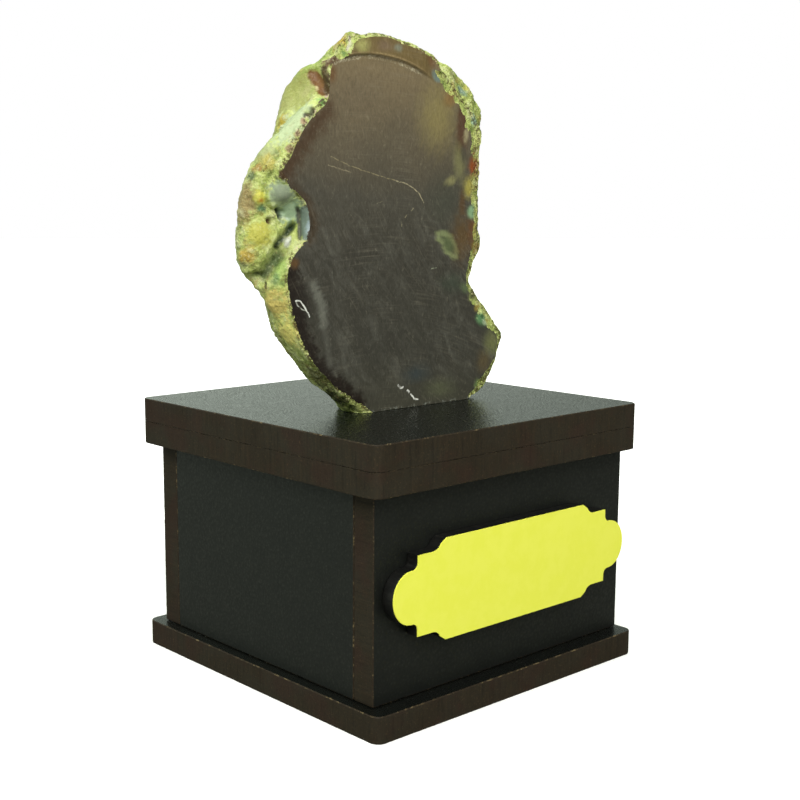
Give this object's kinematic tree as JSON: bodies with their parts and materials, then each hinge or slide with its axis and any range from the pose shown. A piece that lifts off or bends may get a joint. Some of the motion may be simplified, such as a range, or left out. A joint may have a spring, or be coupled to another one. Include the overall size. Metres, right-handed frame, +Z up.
{
  "type": "rough agate on a display stand",
  "caption": "Rough agate sawn flat on its front with natural rind behind, standing on a small square black box stand with an ornamental plain name plate.",
  "frame": {"origin": "middle of the bottom board's underside", "axes": "+Z up, front with the name plate and the sawn face of the stone towards -Y, +X to the right seen from the front"},
  "size_m": [0.0455, 0.0432, 0.0736],
  "materials": {
    "agate": "sawn and lightly polished grey-brown agate face, rough lime-green and ochre natural rind",
    "black_board": "black faced fibreboard with dark brown laser-cut edges",
    "plate_core": "black plastic",
    "plate_face": "plain satin yellow face"
  },
  "bodies": {
    "root": {"agate": "agate", "lid_top_board": "black_board", "lid_lower_board": "black_board", "front_panel": "black_board", "back_panel": "black_board", "left_panel": "black_board", "right_panel": "black_board", "bottom_board": "black_board", "name_plate": "plate_core", "name_plate_face": "plate_face"}
  },
  "joints": []
}
